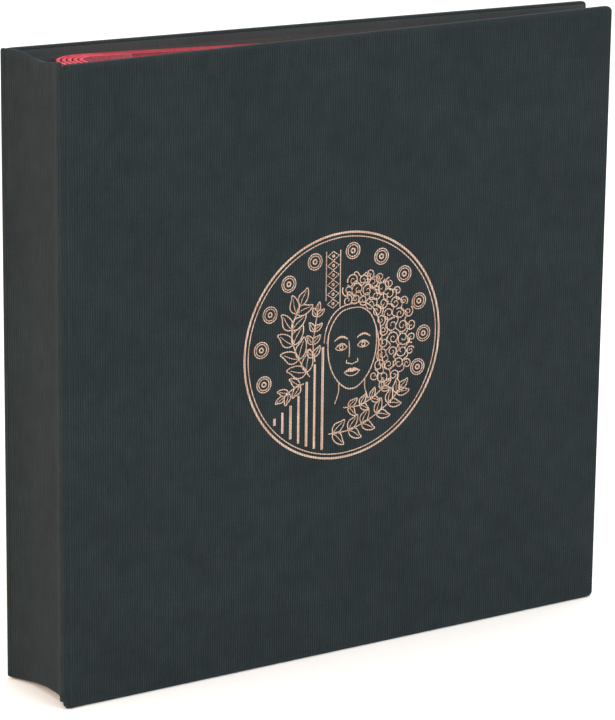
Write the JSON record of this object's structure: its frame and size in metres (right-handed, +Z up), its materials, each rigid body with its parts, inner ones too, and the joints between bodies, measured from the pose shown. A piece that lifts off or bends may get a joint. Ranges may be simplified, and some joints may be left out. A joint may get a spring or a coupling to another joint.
{
  "type": "coin album",
  "caption": "Square cloth-covered ring album that stands on its covers, wedge-shaped from a hollow spine, with clear coin pages, red interleaves and a foil medallion.",
  "frame": {"origin": "middle of the album's footprint, on the surface that it stands on", "axes": "+Z up along the spine, -Y out of the front cover, -X out of the spine"},
  "size_m": [0.25, 0.0421, 0.245],
  "materials": {
    "book_cloth": "fine ribbed book cloth, matt",
    "greyboard": "stiff grey binder's board",
    "lining_paper": "dark matt lining paper",
    "copper_foil": "hot-stamped rose copper foil",
    "nickel_sheet": "nickel-plated pressed steel",
    "nickel_wire": "nickel-plated steel wire",
    "steel_sheet": "zinc-plated steel",
    "clear_film": "clear welded film",
    "red_card": "red card"
  },
  "bodies": {
    "spine": {"spine_board": "greyboard", "spine_cloth": "book_cloth", "spine_lining": "lining_paper", "front_joint_cloth": "book_cloth", "back_joint_cloth": "book_cloth", "ring_cover": "nickel_sheet", "mechanism_rivets": "nickel_sheet", "lever_pins": "steel_sheet"},
    "front_cover": {"front_board": "greyboard", "front_cover_cloth": "book_cloth", "front_lining": "lining_paper", "cover_emblem": "copper_foil"},
    "back_cover": {"back_board": "greyboard", "back_cover_cloth": "book_cloth", "back_lining": "lining_paper"},
    "front_rings": {"front_blade": "steel_sheet", "front_ring_halves": "nickel_wire"},
    "back_rings": {"back_blade": "steel_sheet", "back_ring_halves": "nickel_wire"},
    "top_lever": {"top_lever": "nickel_sheet"},
    "bottom_lever": {"bottom_lever": "nickel_sheet"},
    "leaf_1": {"coin_page_1": "clear_film", "interleaf_1": "red_card"},
    "leaf_2": {"coin_page_2": "clear_film", "interleaf_2": "red_card"},
    "leaf_3": {"coin_page_3": "clear_film", "interleaf_3": "red_card"},
    "leaf_4": {"coin_page_4": "clear_film", "interleaf_4": "red_card"},
    "leaf_5": {"coin_page_5": "clear_film", "interleaf_5": "red_card"}
  },
  "joints": [
    {"name": "front_cover_hinge", "type": "hinge", "parent": "spine", "child": "front_cover", "pos_m": [-0.1227, -0.01975, 0.1225], "axis": [0, 0, -1], "range_deg": [0, 180]},
    {"name": "back_cover_hinge", "type": "hinge", "parent": "spine", "child": "back_cover", "pos_m": [-0.12385, 0.01985, 0.1225], "axis": [0, 0, 1], "range_deg": [0, 180]},
    {"name": "leaf_1_turn", "type": "hinge", "parent": "spine", "child": "leaf_1", "pos_m": [-0.104, -0.001, 0.1225], "axis": [0, 0, -1], "range_deg": [0, 90]},
    {"name": "leaf_2_turn", "type": "hinge", "parent": "spine", "child": "leaf_2", "pos_m": [-0.104, -0.001, 0.1225], "axis": [0, 0, -1], "range_deg": [0, 72]},
    {"name": "leaf_3_turn", "type": "hinge", "parent": "spine", "child": "leaf_3", "pos_m": [-0.104, -0.001, 0.1225], "axis": [0, 0, -1], "range_deg": [0, 54]},
    {"name": "leaf_4_turn", "type": "hinge", "parent": "spine", "child": "leaf_4", "pos_m": [-0.104, -0.001, 0.1225], "axis": [0, 0, -1], "range_deg": [0, 36]},
    {"name": "leaf_5_turn", "type": "hinge", "parent": "spine", "child": "leaf_5", "pos_m": [-0.104, -0.001, 0.1225], "axis": [0, 0, -1], "range_deg": [0, 18]},
    {"name": "top_lever_press", "type": "hinge", "parent": "spine", "child": "top_lever", "pos_m": [-0.1164, -0.001, 0.2125], "axis": [0, -1, 0], "range_deg": [0, 15]},
    {"name": "bottom_lever_press", "type": "hinge", "parent": "spine", "child": "bottom_lever", "pos_m": [-0.1164, -0.001, 0.0325], "axis": [0, 1, 0], "range_deg": [0, 15]},
    {"name": "front_rings_open", "type": "hinge", "parent": "spine", "child": "front_rings", "pos_m": [-0.1165, -0.0105, 0.1225], "axis": [0, 0, -1], "range_deg": [0, 10]},
    {"name": "back_rings_open", "type": "hinge", "parent": "spine", "child": "back_rings", "pos_m": [-0.1165, 0.0085, 0.1225], "axis": [0, 0, 1], "range_deg": [0, 10]}
  ],
  "couplings": [
    {"joint": "leaf_1_turn", "follows": "front_cover_hinge", "ratio": 0.5},
    {"joint": "leaf_2_turn", "follows": "front_cover_hinge", "ratio": 0.4},
    {"joint": "leaf_3_turn", "follows": "front_cover_hinge", "ratio": 0.3},
    {"joint": "leaf_4_turn", "follows": "front_cover_hinge", "ratio": 0.2},
    {"joint": "leaf_5_turn", "follows": "front_cover_hinge", "ratio": 0.1},
    {"joint": "bottom_lever_press", "follows": "top_lever_press", "ratio": 1},
    {"joint": "front_rings_open", "follows": "top_lever_press", "ratio": 0.6666},
    {"joint": "back_rings_open", "follows": "top_lever_press", "ratio": 0.6666}
  ]
}
